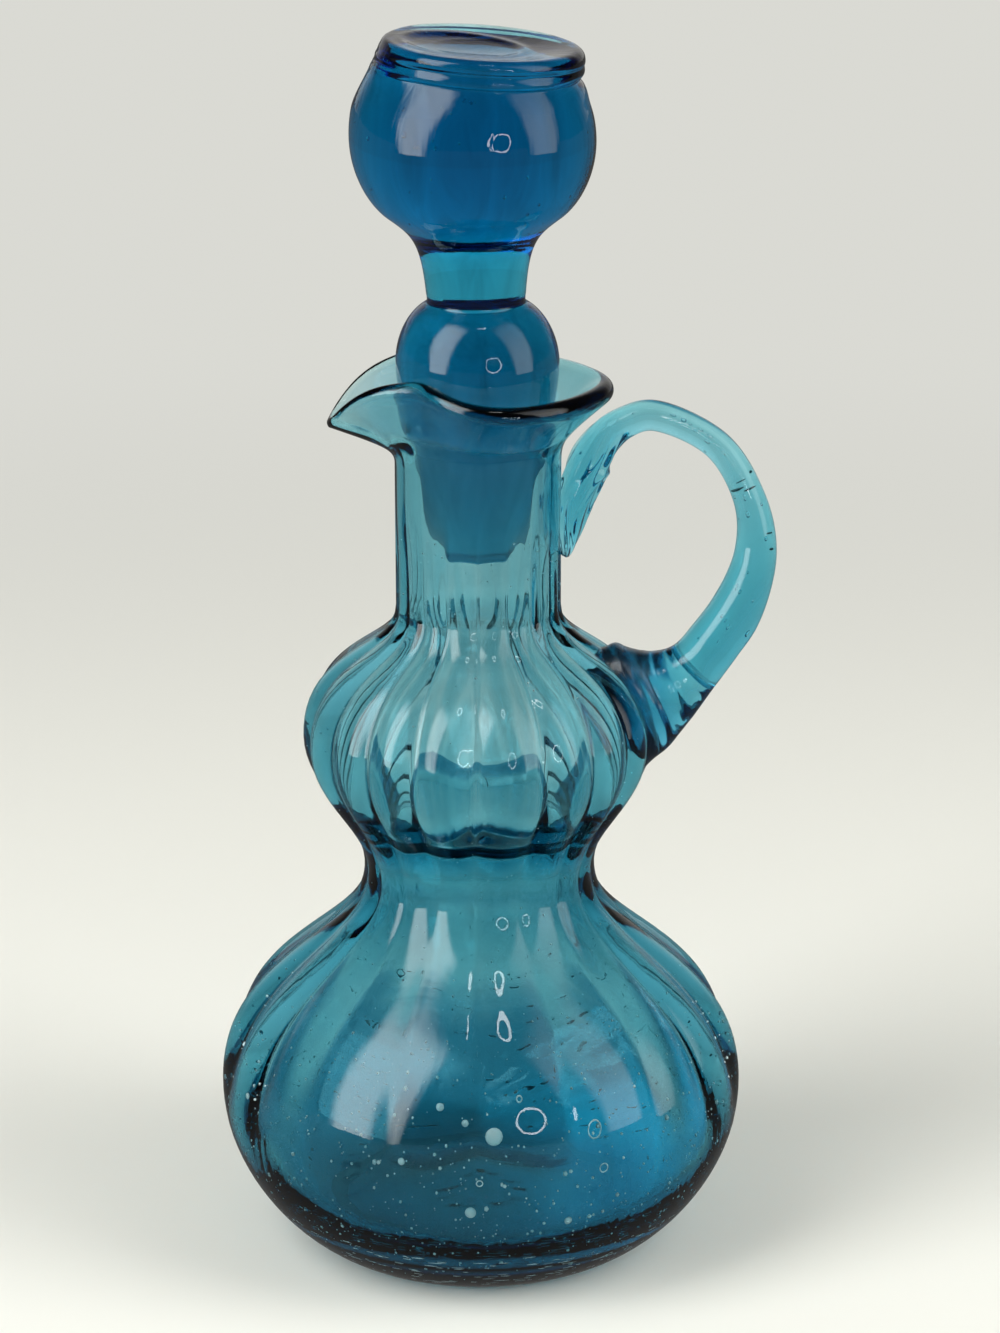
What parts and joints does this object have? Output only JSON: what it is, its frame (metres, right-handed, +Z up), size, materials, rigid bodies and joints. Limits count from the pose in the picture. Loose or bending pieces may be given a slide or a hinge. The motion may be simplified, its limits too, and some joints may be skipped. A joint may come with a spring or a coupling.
{
  "type": "stoppered glass cruet",
  "caption": "Hand-blown gourd-shaped glass cruet with moulded ribs, a pinched pouring lip, an applied loop handle and a solid glass stopper that lifts out.",
  "frame": {"origin": "middle of the flat base, on the surface that the bottle stands on", "axes": "+Z up along the bottle's axis, +X towards the handle, -X towards the spout"},
  "size_m": [0.1113, 0.1052, 0.2461],
  "materials": {
    "bottle_glass": "clear teal blown glass with seed bubbles and moulded ribs",
    "handle_glass": "clear teal drawn glass with fine draw lines",
    "stopper_glass": "deep blue solid glass, fire polished, with a softly ground plug"
  },
  "bodies": {
    "bottle": {"bottle": "bottle_glass", "bottle_neck": "bottle_glass", "handle_pad": "handle_glass", "handle_loop": "handle_glass"},
    "stopper": {"stopper": "stopper_glass"}
  },
  "joints": [
    {"name": "stopper_lift", "type": "slide", "parent": "bottle", "child": "stopper", "axis": [0, 0, 1], "range_m": [0, 0.06]}
  ]
}
